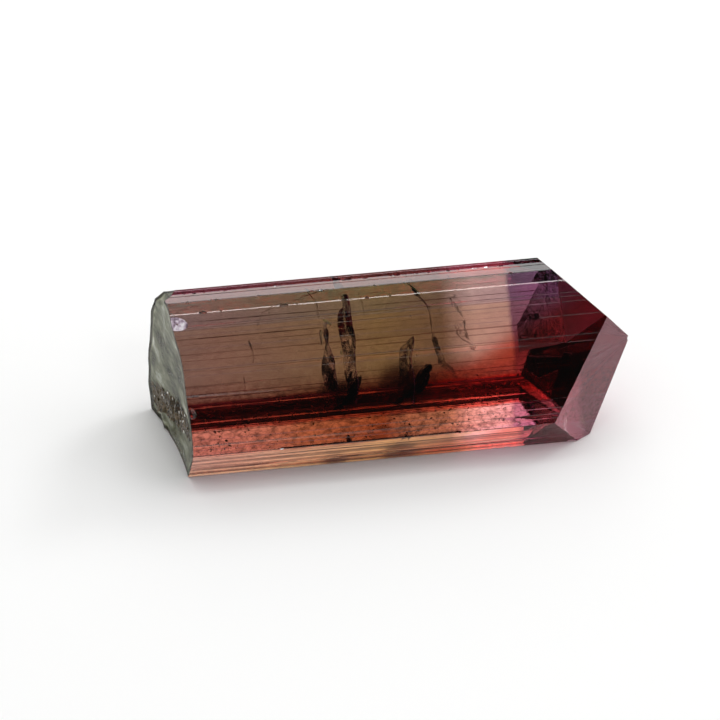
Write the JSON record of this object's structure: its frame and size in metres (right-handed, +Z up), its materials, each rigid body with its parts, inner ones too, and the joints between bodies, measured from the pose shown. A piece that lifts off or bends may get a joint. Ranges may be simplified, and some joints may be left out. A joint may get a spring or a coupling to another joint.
{
  "type": "watermelon tourmaline crystal",
  "caption": "Single striated tourmaline prism lying on one side, with a sloping pointed end and a shell-shaped broken end.",
  "frame": {"origin": "centre of the bounding box's bottom, on the surface that the crystal lies on", "axes": "+X along the prism towards the pointed end, +Z up, and the broad main face looks towards -Y and up"},
  "size_m": [0.0262, 0.0102, 0.0092],
  "materials": {
    "tourmaline": "clear to translucent, glassy, brown-mauve to olive with a pink tip, finely striated"
  },
  "bodies": {
    "root": {"tourmaline_crystal": "tourmaline"}
  },
  "joints": []
}
